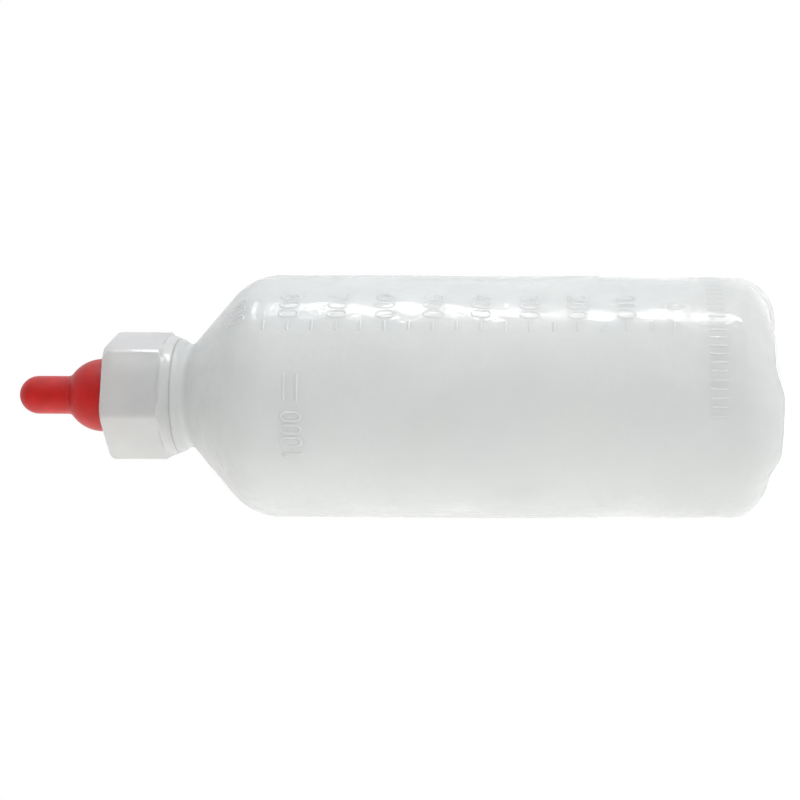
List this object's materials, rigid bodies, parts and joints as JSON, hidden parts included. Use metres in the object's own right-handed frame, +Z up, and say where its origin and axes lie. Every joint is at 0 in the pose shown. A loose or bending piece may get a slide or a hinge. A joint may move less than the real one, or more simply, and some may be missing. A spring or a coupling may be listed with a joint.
{
  "type": "calf feeding bottle",
  "caption": "Translucent round feeding bottle with a conical shoulder, a six-sided screw cap and a soft red teat for young calves and lambs.",
  "frame": {"origin": "centre of the plane that the bottle stands on", "axes": "+Z up along the bottle's axis, from the base to the tip of the teat; +Y points away from the side that carries the capacity mark"},
  "size_m": [0.089, 0.089, 0.2775],
  "materials": {
    "bottle_plastic": "natural translucent polyethylene, satin, slightly waxy",
    "cap_plastic": "milky white injection-moulded polyethylene, satin",
    "teat_rubber": "red moulded rubber with a soft sheen"
  },
  "bodies": {
    "bottle": {"bottle": "bottle_plastic"},
    "teat": {"teat": "teat_rubber"},
    "cap": {"cap": "cap_plastic"}
  },
  "joints": [
    {"name": "teat_lift", "type": "slide", "parent": "bottle", "child": "teat", "axis": [0, 0, 1], "range_m": [0, 0.0084]},
    {"name": "cap_turn", "type": "hinge", "parent": "teat", "child": "cap", "pos_m": [0, 0, 0.23], "axis": [0, 0, 1], "range_deg": [0, 720]}
  ],
  "couplings": [
    {"joint": "teat_lift", "follows": "cap_turn", "m_per_rad": 0.00066845}
  ]
}
